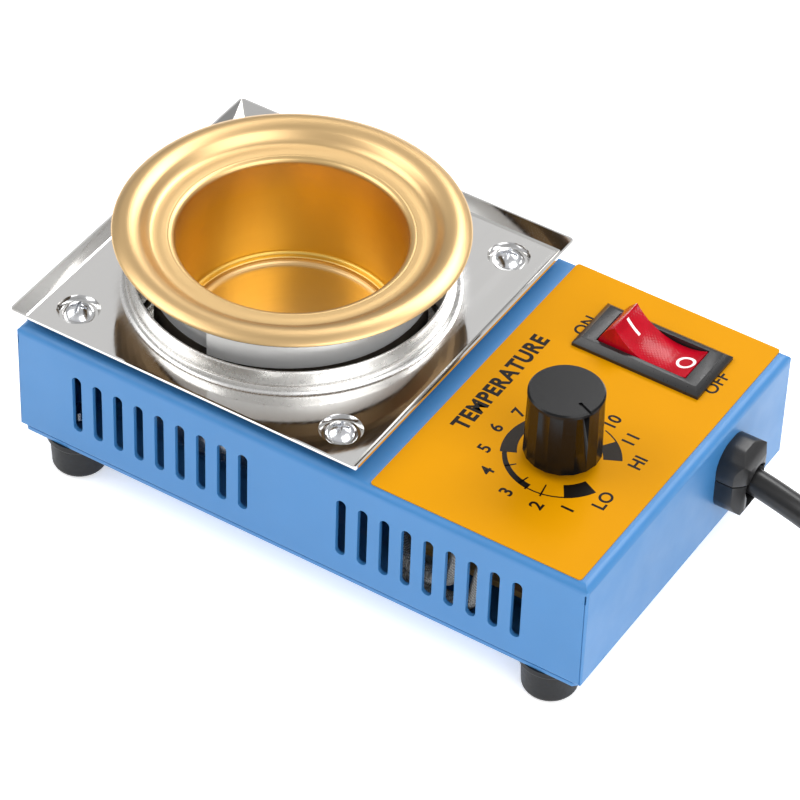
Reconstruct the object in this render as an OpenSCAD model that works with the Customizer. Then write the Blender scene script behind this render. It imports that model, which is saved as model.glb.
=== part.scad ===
// Bench solder pot: a folded sheet housing on rubber feet, a gilt steel crucible in a
// clamped band heater and a heat shield cup, a polished drip tray, and a control panel
// with a rocker switch and a dial.
// X runs along the housing, towards the mains lead. Y runs towards the back long wall.
// Z is up, and Z = 0 is the plane that the feet stand on. All sizes are in millimetres.

/* [Housing] */
// Length of the folded sheet housing
body_l = 142; // [138:1:150]
// Width of the folded sheet housing
body_w = 86; // [84:1:92]
// Height of the housing's walls
body_h = 28; // [27:1:32]
// Thickness of the housing's sheet
sheet_t = 1.0; // [0.8:0.1:1.2]
// Bend radius along the top edges
bend_r = 1.8; // [1.4:0.1:2.4]
// Radius of the upright corners
corner_r = 0.8; // [0.6:0.1:1.4]
// Thickness of the base plate
plate_t = 1.0; // [0.8:0.1:1.5]
// Height of a rubber foot
foot_h = 10; // [8:1:14]
// Radius of a foot at its top
foot_r_top = 6.9; // [6:0.1:7.5]
// Radius of a foot where it stands
foot_r_low = 6.1; // [5.6:0.1:6.5]

/* [Vents] */
// Number of slots in each group
vent_n = 9; // [6:1:9]
// Distance from slot to slot
vent_pitch = 5.34; // [5:0.02:5.5]
// Width of a slot
vent_w = 2.4; // [1.6:0.1:2.8]
// Height of a slot
vent_h = 15.5; // [12:0.5:17]
// Height of the slots' lower ends above the housing's lower edge
vent_low = 5.7; // [5:0.1:7]
// X of the first slot in the group beside the crucible
vent_x1 = -55.2; // [-57:0.1:-54]
// X of the first slot in the group beside the controls
vent_x2 = 12.1; // [11:0.1:13]

/* [Crucible] */
// X of the crucible's axis
pot_x = -29.3; // [-31:0.1:-28]
// Y of the crucible's axis
pot_y = 0.6; // [-1:0.1:1]
// Inside radius of the crucible
pot_ri = 25; // [24:0.1:25.5]
// Radius of the rolled outer lip
lip_r = 38.6; // [38.3:0.1:40]
// Depth from the mouth to the floor
pot_depth = 28.4; // [26:0.1:28.6]
// Thickness of the crucible's side wall
pot_wall = 1.6; // [1.2:0.1:1.6]

/* [Drip tray] */
// Side of the flat floor
tray_floor = 83; // [81:0.5:84]
// Side of the square that the lips' tips make
tray_tip = 88.2; // [86:0.1:90]
// Height of the lips above the floor's upper face
tray_lip_h = 2.7; // [2:0.1:4]
// Thickness of the tray's sheet
tray_t = 0.6; // [0.5:0.1:0.8]
// Distance between the screws that hold the tray
tray_screw_span = 67; // [66:0.5:69]

/* [Controls] */
// X of the dial's axis
knob_x = 46.5; // [44:0.1:48]
// Y of the dial's axis
knob_y = -12.2; // [-14:0.1:-11]
// Radius of the knob at its foot
knob_r0 = 8.4; // [8.2:0.1:9]
// Radius of the knob at its top
knob_r1 = 8.1; // [7.8:0.1:8.4]
// Height of the knob
knob_h = 16.2; // [15:0.1:18]
// Number of grip flats round the knob
knob_flats = 18; // [14:1:24]
// Direction of the pointer line at rest, anticlockwise from +X
pointer_deg = -24; // [-30:1:-18]
// X of the switch's centre
switch_x = 45.9; // [45:0.1:47]
// Y of the switch's centre
switch_y = 26.3; // [25:0.1:27]
// Length of the switch's bezel
bezel_l = 30.9; // [30:0.1:32]
// Width of the switch's bezel
bezel_w = 15.4; // [15:0.1:16]
// Height of the switch's bezel
bezel_h = 2.0; // [1.8:0.1:2.4]
// Tilt of the rocker to either side of level
rock_deg = 16; // [12:1:16]

/* [Mains lead] */
// Diameter of the mains lead
cord_d = 6; // [5:0.5:6]
// Y of the point where the lead leaves the end wall
cord_y = 17.2; // [16:0.1:18]
// Height of the point where the lead leaves the end wall
cord_z = 25.4; // [24:0.1:26]

/* [Hidden] */

// ---- heights ----
plate_z0 = foot_h;
shell_z0 = plate_z0 + plate_t;
shell_z1 = shell_z0 + body_h;
label_t = 0.25;
panel_z = shell_z1 + label_t;
tray_seat = shell_z1;
tray_drop = 1.2;
tray_z = tray_seat + tray_drop;
tray_top = tray_z + tray_t;
mouth_z = 54.6;
well_r = 35.8;
neck_r = 35.2;
cup_r = 36.8;
cup_t = 0.6;
cup_z0 = 17.5;
cup_z1 = 37.4;
tray_cx = -28.4;
tray_cy = 0.85;
foot_x = 60.2;
foot_y = 36.1;
label_x0 = 17.9;
label_x1 = 68.3;
label_y0 = -41.4;
label_y1 = 42.6;
knob_z0 = 41.5;
rock_z = 37.3;
rock_r = 11.36;
earth_x = 18;
earth_y = 25;
$fn = 64;

// ---- helpers ----
module rrect(l, w, r) {
  square([l - 2 * r, w], center = true);
  square([l, w - 2 * r], center = true);
  for (sx = [-1, 1], sy = [-1, 1]) translate([sx * (l / 2 - r), sy * (w / 2 - r)]) circle(r);
}
// A profile of width w from z0 to z1: its upper corners are bent with radius r and its
// lower corners with radius rb.
module bent(w, z0, z1, r, rb) {
  translate([-w / 2, z0 + rb]) square([w, z1 - z0 - r - rb]);
  translate([-w / 2 + r, z0 + rb]) square([w - 2 * r, z1 - z0 - rb]);
  translate([-w / 2 + rb, z0]) square([w - 2 * rb, rb + 1]);
  for (s = [-1, 1]) {
    translate([s * (w / 2 - r), z1 - r]) circle(r);
    translate([s * (w / 2 - rb), z0 + rb]) circle(rb);
  }
}
// A block with bent upper and lower edges and upright corners, as a folded sheet has.
module folded_block(l, w, z0, z1, rv, rt, rb) {
  intersection() {
    translate([0, 0, z0]) linear_extrude(z1 - z0) rrect(l, w, rv);
    translate([0, w, 0]) rotate([90, 0, 0]) linear_extrude(2 * w) bent(l, z0, z1, rt, rb);
    translate([-l, 0, 0]) rotate([90, 0, 90]) linear_extrude(2 * l) bent(w, z0, z1, rt, rb);
  }
}
module ring(ro, ri, z0, z1) {
  difference() {
    translate([0, 0, z0]) cylinder(r = ro, h = z1 - z0);
    translate([0, 0, z0 - 1]) cylinder(r = ri, h = z1 - z0 + 2);
  }
}
module at_feet() { for (sx = [-1, 1], sy = [-1, 1]) translate([sx * foot_x, sy * foot_y, 0]) children(); }
module at_tray_screws() {
  s = tray_screw_span / 2;
  for (sx = [-1, 1], sy = [-1, 1]) translate([tray_cx + sx * s, tray_cy + 0.1 + sy * s, 0]) children();
}
// Pan head screw with a cross recess: the head's seat is at z = 0 and the shank hangs below.
module pan_screw(rh, hh, rs, ls) {
  rd = (rh * rh + hh * hh) / (2 * hh);
  difference() {
    union() {
      intersection() {
        translate([0, 0, hh - rd]) sphere(r = rd, $fn = 72);
        cylinder(r = rh - 0.05, h = hh + 1);
      }
      translate([0, 0, -ls + rs]) cylinder(r = rs, h = ls - rs + 0.2);
      translate([0, 0, -ls]) cylinder(r1 = rs * 0.45, r2 = rs, h = rs);
    }
    for (a = [0, 90]) rotate([0, 0, a + 20]) translate([-rh * 0.52, -rh * 0.095, hh * 0.42]) cube([rh * 1.04, rh * 0.19, hh]);
  }
}
module hex_nut(af, bore, h) {
  difference() {
    cylinder(r = af / 2 / cos(30), h = h, $fn = 6);
    translate([0, 0, -1]) cylinder(r = bore, h = h + 2);
  }
}
// Points of an arc in a profile, centre (cx, cz), radius r, from a0 to a1 in n steps.
function arc(cx, cz, r, a0, a1, n) = [for (i = [0:n]) let (a = a0 + (a1 - a0) * i / n) [cx + r * cos(a), cz + r * sin(a)]];

// ---- swept leads ----
function unit(v) = v / norm(v);
function cr(a, b, c, d, t) = 0.5 * ((2 * b) + (c - a) * t + (2 * a - 5 * b + 4 * c - d) * t * t + (3 * b - a - 3 * c + d) * t * t * t);
function tang(p, i) = unit(p[min(i + 1, len(p) - 1)] - p[max(i - 1, 0)]);
function side_at(p, i, n0) = i == 0 ? unit(n0 - (n0 * tang(p, 0)) * tang(p, 0))
  : let (q = side_at(p, i - 1, n0), t = tang(p, i), v = q - (q * t) * t) unit(v);
function route(p, k) = let (n = len(p), a = [for (i = [0:n - 2], j = [0:k - 1])
  cr(p[max(i - 1, 0)], p[i], p[i + 1], p[min(i + 2, n - 1)], j / k)]) concat(a, [p[n - 1]]);
// A round lead of radius r along the points p, with m sides.
module lead(p, r, m, n0 = [0, 0, 1]) {
  N = len(p);
  v = [for (i = [0:N - 1]) let (t = tang(p, i), a = side_at(p, i, n0), b = cross(t, a))
    for (j = [0:m - 1]) p[i] + r * cos(360 * j / m) * a + r * sin(360 * j / m) * b];
  f = concat(
    [[for (j = [0:m - 1]) j]],
    [[for (j = [0:m - 1]) (N - 1) * m + m - 1 - j]],
    [for (i = [0:N - 2], j = [0:m - 1]) let (k = (j + 1) % m) [i * m + j, (i + 1) * m + j, (i + 1) * m + k, i * m + k]]);
  polyhedron(points = v, faces = f, convexity = 6);
}

// ---- housing ----
module vent_cut() {
  for (x0 = [vent_x1, vent_x2], i = [0:vent_n - 1])
    translate([x0 + i * vent_pitch, shell_z0 + vent_low]) {
      translate([-vent_w / 2, vent_w / 2]) square([vent_w, vent_h - vent_w]);
      translate([0, vent_w / 2]) circle(vent_w / 2, $fn = 24);
      translate([0, vent_h - vent_w / 2]) circle(vent_w / 2, $fn = 24);
    }
}
module housing_shell() color([0.31, 0.56, 0.87]) difference() {
  union() {
    difference() {
      folded_block(body_l, body_w, shell_z0, shell_z1, corner_r, bend_r, 0.7);
      folded_block(body_l - 2 * sheet_t, body_w - 2 * sheet_t, shell_z0 - 2, shell_z1 - sheet_t, 0.2, bend_r - sheet_t, 0.2);
    }
    // return flanges along the lower edge
    difference() {
      translate([0, 0, shell_z0]) linear_extrude(sheet_t) rrect(body_l - 1.5, body_w - 1.5, 0.5);
      translate([0, 0, shell_z0 - 1]) linear_extrude(sheet_t + 2) square([body_l - 24, body_w - 24], center = true);
      for (sx = [-1, 1], sy = [-1, 1]) translate([sx * (body_l / 2 - 2.6), sy * (body_w / 2 - 2.6), shell_z0 - 1]) cylinder(r = 2.2, h = 3);
    }
  }
  translate([0, body_w, 0]) rotate([90, 0, 0]) linear_extrude(2 * body_w) vent_cut();
  // crucible well
  translate([pot_x, pot_y, shell_z1 - 3]) cylinder(r = well_r, h = 6);
  at_tray_screws() translate([0, 0, shell_z1 - 3]) cylinder(r = 1.9, h = 6);
  at_feet() translate([0, 0, shell_z0 - 1]) cylinder(r = 1.7, h = 4);
  at_board() translate([0, 0, shell_z0 - 1]) cylinder(r = 3.8, h = 3);
  // dial spindle and its locating tab
  translate([knob_x, knob_y, shell_z1 - 3]) cylinder(r = 3.6, h = 6);
  translate([knob_x - 7.9, knob_y - 1.5, shell_z1 - 3]) cube([1.4, 3.0, 6]);
  // switch
  translate([switch_x - 14.1, switch_y - 6.5, shell_z1 - 3]) cube([28.2, 13, 6]);
  // lead bushing, a round hole with two flats
  translate([body_l / 2 - 3, cord_y, cord_z]) rotate([0, 90, 0]) linear_extrude(6)
    intersection() { circle(6.4); square([12.8, 11], center = true); }
  // corner reliefs of the folded sheet
  for (sx = [-1, 1], sy = [-1, 1]) scale([sx, sy, 1]) {
    translate([body_l / 2 - 0.72, body_w / 2 - 1.4, shell_z1 - bend_r - 2.5]) cube([0.34, 2, 2.4]);
    translate([0, body_w / 2 + 1, 0]) rotate([90, 0, 0]) linear_extrude(1.26) polygon([
      [body_l / 2 - 0.62, shell_z1 - bend_r - 2], [body_l / 2 - 0.5, shell_z1 - bend_r - 2],
      [body_l / 2 - 0.30, shell_z0 - 1], [body_l / 2 - 0.5, shell_z0 - 1]]);
  }
}
module base_plate() color([0.34, 0.58, 0.88]) difference() {
  translate([0, 0, plate_z0]) linear_extrude(plate_t) difference() {
    rrect(body_l - 1.6, body_w - 0.4, 0.5);
    for (sx = [-1, 1], sy = [-1, 1]) translate([sx * body_l / 2, sy * body_w / 2]) rotate(45) square(3.2, center = true);
  }
  at_feet() translate([0, 0, plate_z0 - 1]) cylinder(r = 1.7, h = 3);
  // air slots below the heater and the controls
  for (i = [-4:4]) translate([pot_x + i * 5, 0, plate_z0 - 1]) linear_extrude(3) rrect(2.4, i == 0 ? 16 : 34 - abs(i) * 2, 1.19);
  for (s = [-1, 1]) translate([pot_x, pot_y + s * 24, plate_z0 - 1]) cylinder(r = 1.6, h = 3);
  at_board() translate([0, 0, plate_z0 - 1]) cylinder(r = 1.6, h = 3);
  translate([earth_x, earth_y, plate_z0 - 1]) cylinder(r = 2.0, h = 3);
}
module rubber_feet() color([0.17, 0.17, 0.18]) at_feet() difference() {
  union() {
    rotate_extrude() polygon(concat([[0, 0]], arc(foot_r_low - 1.6, 1.6, 1.6, -90, -6, 7),
      [[foot_r_top - 0.5, foot_h - 2.6]], arc(foot_r_top - 0.1, foot_h - 2.4, 0.4, 200, 110, 3),
      [[foot_r_top + 0.2, foot_h - 1.5], [foot_r_top + 0.3, foot_h - 1.2], [foot_r_top + 0.3, foot_h], [0, foot_h]]));
  }
  translate([0, 0, -1]) cylinder(r = 3.4, h = 5.6);
  cylinder(r = 1.7, h = foot_h + 1);
}
module foot_screws() color([0.72, 0.72, 0.74]) at_feet() difference() {
  union() {
    translate([0, 0, 2.4]) cylinder(r = 3.0, h = 2.2);
    translate([0, 0, 4.4]) cylinder(r = 1.5, h = 11.0);
  }
  translate([-2, -0.35, 2.0]) cube([4, 0.7, 1.4]);
}
module foot_nuts() color([0.80, 0.80, 0.82]) at_feet() translate([0, 0, shell_z0 + sheet_t]) hex_nut(5.5, 1.5, 2.4);

// ---- drip tray ----
module tray_lip() {
  u0 = tray_floor / 2;
  u1 = tray_tip / 2;
  difference() {
    translate([0, u1 + 4, 0]) rotate([90, 0, 0]) linear_extrude(2 * u1 + 8) polygon([
      [u0 - 2, tray_z], [u0 + 0.1, tray_z], [u0 + 0.5, tray_z + 0.15], [u1, tray_top + tray_lip_h - 0.45],
      [u1 - 0.1, tray_top + tray_lip_h], [u1 - 0.55, tray_top + tray_lip_h], [u0 + 0.15, tray_top + 0.12],
      [u0 - 0.2, tray_top], [u0 - 2, tray_top]]);
    for (s = [-1, 1]) rotate([0, 0, s * 45]) translate([-100, s > 0 ? 0 : -200, tray_z - 5]) cube([300, 200, 20]);
  }
}
module drip_tray() color([0.80, 0.80, 0.80]) difference() {
  union() {
    translate([tray_cx, tray_cy, 0]) intersection() {
      union() {
        translate([0, 0, tray_z]) linear_extrude(tray_t) difference() {
          square(tray_floor - 2, center = true);
          translate([pot_x - tray_cx, pot_y - tray_cy]) circle(neck_r + 2);
        }
        for (a = [0, 90, 180, 270]) rotate([0, 0, a]) tray_lip();
      }
      translate([0, 0, tray_z - 1]) linear_extrude(8) rrect(tray_tip, tray_tip, 1.7);
    }
    // neck round the well: a fillet, a shallow groove, the wall and its rounded edge
    translate([pot_x, pot_y, 0]) rotate_extrude($fn = 96) polygon(concat(
      [[neck_r + 4, tray_z], [neck_r + 4, tray_top]],
      arc(neck_r + 1.9, tray_top + 1.3, 1.3, -90, -158, 6),
      arc(neck_r + 0.35, tray_top + 1.35, 0.35, 40, 150, 5),
      [[neck_r - 0.08, tray_top + 1.9], [neck_r - 0.12, tray_top + 2.2], [neck_r - 0.5, 45.3]],
      arc(neck_r - 0.78, 45.42, 0.28, 0, 180, 6),
      [[neck_r - 0.75, tray_top + 1.6], [neck_r - 0.2, tray_z + 0.4], [neck_r + 0.4, tray_z]]));
    at_tray_screws() translate([0, 0, tray_seat]) cylinder(r1 = 4.7, r2 = 5.3, h = tray_drop + tray_t);
  }
  translate([pot_x, pot_y, tray_z - 5]) cylinder(r = neck_r - 1.1, h = 12);
  at_tray_screws() {
    translate([0, 0, tray_seat + tray_t]) cylinder(r1 = 4.15, r2 = 4.75, h = tray_drop + 0.001);
    translate([0, 0, tray_seat - 1]) cylinder(r = 1.9, h = 4);
  }
}
module tray_screws() color([0.78, 0.78, 0.80]) at_tray_screws() translate([0, 0, tray_seat + tray_t]) pan_screw(3.6, 2.3, 1.75, 20);
module tray_nuts() color([0.76, 0.76, 0.78]) at_tray_screws() translate([0, 0, shell_z1 - sheet_t - 3]) hex_nut(6, 1.75, 3);

// ---- crucible and heater ----
floor_z = mouth_z - pot_depth;
// The lip's upper face and its under face, as radius and height from the mouth's plane.
lip_up = [[pot_ri + 1.9, 0.06], [pot_ri + 3.0, 0.12], [pot_ri + 4.3, 0.14], [pot_ri + 5.3, 0.30], [pot_ri + 6.1, 0.86], [pot_ri + 6.9, 1.72], [lip_r - 5.9, 2.45], [lip_r - 4.7, 2.98], [lip_r - 3.4, 3.20], [lip_r - 2.1, 3.05], [lip_r - 1.1, 2.65], [lip_r - 0.3, 2.15], [lip_r, 1.75]];
lip_down = [[lip_r - 0.2, 1.45], [lip_r - 0.75, 1.50], [lip_r - 1.6, 1.78], [lip_r - 2.8, 1.86], [lip_r - 4.2, 1.50], [lip_r - 5.4, 0.92], [lip_r - 6.4, 0.1], [lip_r - 7.5, -0.8], [lip_r - 8.8, -1.22], [pot_ri + 3.6, -1.35], [pot_ri + 2.3, -1.9], [pot_ri + 1.7, -3.2]];
module crucible() color([0.86, 0.68, 0.32]) translate([pot_x, pot_y, 0]) rotate_extrude($fn = 96) {
  ro = pot_ri + pot_wall;
  polygon(concat(
    [[0, floor_z - 2], [ro - 3, floor_z - 2]],
    arc(ro - 3, floor_z + 1, 3, -80, 0, 5),
    [[ro, mouth_z - 4.4]],
    [for (i = [len(lip_down) - 1:-1:0]) [max(ro, lip_down[i][0]), mouth_z + lip_down[i][1]]],
    [for (k = [len(route(lip_up, 3)) - 1:-1:0]) let (q = route(lip_up, 3)[k]) [q[0], mouth_z + q[1]]],
    arc(pot_ri + 1.5, mouth_z - 1.45, 1.5, 82, 180, 8),
    [[pot_ri, floor_z + 2.7]],
    arc(pot_ri - 0.9, floor_z + 2.6, 0.9, -10, -78, 4),
    [[pot_ri - 1.35, floor_z + 1.66]],
    arc(pot_ri - 3.4, floor_z + 1.9, 1.9, -12, -86, 6),
    [[pot_ri - 3.9, floor_z], [0, floor_z]]));
}
strap_z0 = 43.7;
strap_z1 = mouth_z - 1.5;
module mica_heater() color([0.16, 0.14, 0.12]) translate([pot_x, pot_y, 0])
  ring(29.8, pot_ri + pot_wall + 0.05, floor_z + 2, mouth_z - 4.5);
// The strap winds once round the heater, and its outer end springs clear of its inner end.
strap_n = 98;
function strap_rr(i) = 30.6 + 0.5 * i / strap_n + 1.2 * pow(max(0, i / strap_n - 0.9) / 0.1, 1.3);
strap_t = 0.5;
function strap_aa(i) = -58 - 392 * i / strap_n;
module clamp_strap() color([0.78, 0.78, 0.77]) translate([pot_x, pot_y, 0]) {
  translate([0, 0, strap_z0]) linear_extrude(strap_z1 - strap_z0) polygon(concat(
    [for (i = [0:strap_n]) [strap_rr(i) * cos(strap_aa(i)), strap_rr(i) * sin(strap_aa(i))]],
    [for (i = [strap_n:-1:0]) [(strap_rr(i) - strap_t) * cos(strap_aa(i)), (strap_rr(i) - strap_t) * sin(strap_aa(i))]]));
  // lugs of the clamp at the back
  for (a = [84, 98]) rotate([0, 0, a]) difference() {
    translate([30.5, -0.45, 46.2]) cube([5.9, 0.9, 6.2]);
    translate([34.0, 2, 49.3]) rotate([90, 0, 0]) cylinder(r = 1.5, h = 4);
  }
}
module clamp_screw() color([0.74, 0.74, 0.76]) translate([pot_x, pot_y, 0]) rotate([0, 0, 91]) translate([34.0, 0, 49.3]) rotate([90, 0, 0]) {
  translate([0, 0, -6.4]) cylinder(r = 1.0, h = 13);
  translate([0, 0, 4.9]) cylinder(r = 1.85, h = 1.6);
  translate([0, 0, -6.5]) cylinder(r = 2.1, h = 1.5, $fn = 6);
}
module heat_shield() color([0.70, 0.70, 0.71]) translate([pot_x, pot_y, 0]) difference() {
  rotate_extrude($fn = 96) polygon(concat(
    [[0, cup_z0], [cup_r - 2, cup_z0]], arc(cup_r - 2, cup_z0 + 2, 2, -80, 0, 5),
    arc(cup_r - cup_t / 2, cup_z1 - cup_t / 2, cup_t / 2, 0, 180, 5),
    [[cup_r - cup_t, cup_z0 + 2]],
    arc(cup_r - 2, cup_z0 + 2, 2 - cup_t, 0, -90, 4), [[0, cup_z0 + cup_t]]));
  translate([0, 0, cup_z0 - 1]) cylinder(r = 1.6, h = 3);
  // way out for the heater's leads
  translate([28, -9, cup_z0 + 1.6]) cube([14, 15.4, 6.4]);
}
module insulation_pad() color([0.90, 0.89, 0.84]) translate([pot_x, pot_y, 0]) ring(28, 4, cup_z0 + cup_t, floor_z - 2);
module shield_bracket() color([0.72, 0.72, 0.72]) translate([pot_x, pot_y, 0]) difference() {
  union() {
    translate([-9, -20, cup_z0 - 1]) cube([18, 40, 1]);
    for (s = [-1, 1]) {
      translate([-9, s * 19.5 - 0.5, shell_z0]) cube([18, 1, cup_z0 - shell_z0 - 0.5]);
      translate([-9, s > 0 ? 19 : -28, shell_z0]) cube([18, 9, 1]);
    }
  }
  translate([0, 0, cup_z0 - 2]) cylinder(r = 1.6, h = 3);
  for (s = [-1, 1]) translate([0, s * 24, shell_z0 - 1]) cylinder(r = 1.6, h = 3);
}
module bracket_screws() color([0.74, 0.74, 0.76]) translate([pot_x, pot_y, 0]) {
  for (s = [-1, 1]) translate([0, s * 24, 0]) {
    translate([0, 0, shell_z0 + 1]) cylinder(r = 2.7, h = 2.0);
    translate([0, 0, plate_z0 - 2]) cylinder(r = 1.5, h = 4);
    translate([0, 0, plate_z0 - 2.0]) cylinder(r = 2.7, h = 2.0, $fn = 6);
  }
  translate([0, 0, cup_z0 + cup_t]) cylinder(r = 2.7, h = 1.8);
  translate([0, 0, cup_z0 - 3.4]) cylinder(r = 1.5, h = 5);
  translate([0, 0, cup_z0 - 3.4]) cylinder(r = 2.8, h = 2.4, $fn = 6);
}

// ---- control panel ----
module control_label() color([1.0, 0.70, 0.0]) difference() {
  translate([(label_x0 + label_x1) / 2, (label_y0 + label_y1) / 2, shell_z1]) linear_extrude(label_t) rrect(label_x1 - label_x0, label_y1 - label_y0, 0.8);
  translate([knob_x, knob_y, shell_z1 - 1]) cylinder(r = 3.6, h = 3);
  translate([switch_x - 14.1, switch_y - 6.5, shell_z1 - 1]) cube([28.2, 13, 3]);
}
bz0 = panel_z;
bz1 = panel_z + bezel_h;
// A bezel with a bevel round its upper edge.
module bezel_profile(w) { polygon([[-w / 2, bz0], [w / 2, bz0], [w / 2, bz0 + 0.8], [w / 2 - 1.5, bz1], [-w / 2 + 1.5, bz1], [-w / 2, bz0 + 0.8]]); }
module switch_body() color([0.19, 0.19, 0.20]) translate([switch_x, switch_y, 0]) difference() {
  union() {
    intersection() {
      translate([0, 20, 0]) rotate([90, 0, 0]) linear_extrude(40) bezel_profile(bezel_l);
      translate([-30, 0, 0]) rotate([90, 0, 90]) linear_extrude(60) bezel_profile(bezel_w);
    }
    translate([-13.7, -6.2, 22]) cube([27.4, 12.4, bz0 - 22 + 0.2]);
    // spring catches that grip the panel from below
    for (s = [-1, 1]) scale([s, 1, 1]) translate([0, 2.5, 0]) rotate([90, 0, 0]) linear_extrude(5)
      polygon([[13.5, 32], [14.6, 37.2], [14.6, shell_z1 - sheet_t - 0.1], [13.5, shell_z1 - sheet_t - 0.1]]);
  }
  // rocker's cavity
  translate([-11.75, -5.2, 26.6]) cube([23.5, 10.4, rock_z - 26.6]);
  translate([0, 5.2, rock_z]) rotate([90, 0, 0]) cylinder(r = rock_r + 0.3, h = 10.4);
  // slots that the terminals stand in
  for (x = [-9.4, 0, 9.4]) translate([x - 1.62, -0.42, 21]) cube([3.24, 0.84, 6]);
  // bearings for the rocker's trunnions
  translate([0, 6.0, rock_z]) rotate([90, 0, 0]) cylinder(r = 1.06, h = 12);
}
// The rocker's profile when level: its ends are arcs about its axis, and its top is hollow.
module rocker_profile() difference() {
  intersection() { circle(rock_r, $fn = 96); translate([-20, -2.6]) square([40, 20]); }
  translate([0, 6.7 - 3.3 + 14.2]) circle(14.2, $fn = 128);
}
module rocker_turn() { translate([switch_x, switch_y, rock_z]) rotate([0, rock_deg, 0]) children(); }
module switch_rocker() color([0.85, 0.06, 0.16]) rocker_turn() difference() {
  union() {
    translate([0, 4.85, 0]) rotate([90, 0, 0]) linear_extrude(9.7) rocker_profile();
    translate([0, 5.9, 0]) rotate([90, 0, 0]) cylinder(r = 1.0, h = 11.8);
    translate([0, 0, -4.6]) cylinder(r = 2.2, h = 4);
  }
  // hollow underside for the lamp, and the plunger's bore
  for (s = [-1, 1]) translate([s > 0 ? 3 : -8.6, -3.5, -4]) cube([5.6, 7, 6.2]);
  translate([0, 0, -6]) cylinder(r = 1.35, h = 6.2);
}
module switch_lamp() color([1.0, 0.5, 0.3]) rocker_turn() translate([-5.8, 0, 0.2]) rotate([90, 0, 0]) {
  translate([0, 0, -2.6]) cylinder(r = 1.4, h = 4.6);
  translate([0, 0, 2.0]) sphere(r = 1.4, $fn = 32);
}
module switch_plunger() color([0.80, 0.62, 0.25]) rocker_turn() {
  translate([0, 0, -6.2]) cylinder(r = 1.3, h = 6.3);
  translate([0, 0, -6.2]) sphere(r = 1.3, $fn = 32);
}
module switch_terminals() color([0.82, 0.72, 0.45]) translate([switch_x, switch_y, 0]) for (x = [-9.4, 0, 9.4]) difference() {
  union() {
    translate([x - 2.4, -0.4, 16.2]) cube([4.8, 0.8, 5.8]);
    translate([x - 1.6, -0.4, 21.6]) cube([3.2, 0.8, x == 0 ? 6.4 : 4.9]);
  }
  translate([x, 2, 18.4]) rotate([90, 0, 0]) cylinder(r = 0.8, h = 4, $fn = 24);
}
module control_knob() color([0.16, 0.16, 0.17]) translate([knob_x, knob_y, knob_z0]) difference() {
  union() {
    cylinder(r1 = knob_r0, r2 = knob_r1, h = knob_h - 0.35);
    translate([0, 0, knob_h - 0.35]) cylinder(r1 = knob_r1, r2 = knob_r1 - 0.35, h = 0.35);
  }
  // grip flats
  tilt = atan((knob_r0 - knob_r1) / knob_h);
  for (i = [0:knob_flats - 1]) rotate([0, 0, pointer_deg + (i + 0.5) * 360 / knob_flats])
    translate([knob_r0 * 0.985, -4, -2]) rotate([0, -tilt, 0]) cube([4, 8, knob_h + 1.0]);
  // hollow underside over the nut, and the spindle's bore
  translate([0, 0, -1]) cylinder(r = 6.7, h = 4.4);
  translate([0, 0, -1]) cylinder(r = 3.03, h = knob_h - 0.6);
  // pointer line
  rotate([0, 0, pointer_deg]) translate([4.5, -0.4, knob_h - 0.45]) cube([6, 0.8, 2]);
}
module dial_spindle() color([0.80, 0.80, 0.78]) translate([knob_x, knob_y, 0]) difference() {
  translate([0, 0, 31]) cylinder(r = 3.0, h = knob_z0 + knob_h - 1.9 - 31);
  translate([-0.5, -4, 48]) cube([1, 8, 12]);
}
module potentiometer() color([0.62, 0.62, 0.60]) translate([knob_x, knob_y, 0]) difference() {
  union() {
    translate([0, 0, 29.4]) cylinder(r = 8.2, h = 5.8);
    translate([-8.6, -7.2, 35.0]) cube([17.2, 14.4, 2.2]);
    translate([0, 0, 37]) cylinder(r = 3.5, h = 6.0);
    translate([-7.7, -1.3, 37]) cube([1.0, 2.6, 2.0]);
    for (x = [-5, 0, 5]) translate([x - 1, -14.5, 34.2]) cube([2, 8, 0.8]);
  }
  translate([0, 0, 30.2]) cylinder(r = 3.06, h = 15);
}
module dial_washer() color([0.75, 0.75, 0.76]) translate([knob_x, knob_y, 0]) ring(5.7, 3.5, panel_z, panel_z + 0.5);
module dial_nut() color([0.80, 0.74, 0.45]) translate([knob_x, knob_y, panel_z + 0.5]) hex_nut(10, 3.5, 1.7);

// ---- dimmer board ----
bx0 = 22;
bx1 = 64;
by0 = -33;
by1 = 3;
board_z = 17;
module at_board() for (x = [bx0 + 3.5, bx1 - 3.5], y = [by0 + 3.5, by1 - 3.5]) translate([x, y, 0]) children();
module dimmer_board() color([0.70, 0.58, 0.30]) difference() {
  translate([bx0, by0, board_z]) cube([bx1 - bx0, by1 - by0, 1.6]);
  at_board() translate([0, 0, board_z - 1]) cylinder(r = 1.6, h = 4);
}
module board_spacers() color([0.90, 0.90, 0.88]) at_board() ring(3.0, 1.6, shell_z0, board_z);
module board_screws() color([0.76, 0.76, 0.78]) at_board() {
  translate([0, 0, board_z + 1.6]) cylinder(r = 2.7, h = 2.0);
  translate([0, 0, plate_z0 + 0.1]) cylinder(r = 1.5, h = board_z + 1.7 - plate_z0);
}
module triac() color([0.12, 0.12, 0.13]) translate([31.2, -18.5, board_z + 1.6]) {
  translate([0, -5, 4]) cube([4.2, 10, 8.6]);
  for (y = [-2.54, 0, 2.54]) translate([1.6, y - 0.4, 0]) cube([0.6, 0.8, 4.2]);
}
module triac_heatsink() color([0.72, 0.73, 0.74]) translate([25.4, -26.4, board_z + 1.6]) difference() {
  cube([5.8, 16, 14.6]);
  for (i = [0:3]) translate([-1, 1.6 + i * 3.3, -1]) cube([5.0, 1.6, 17]);
}
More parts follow.
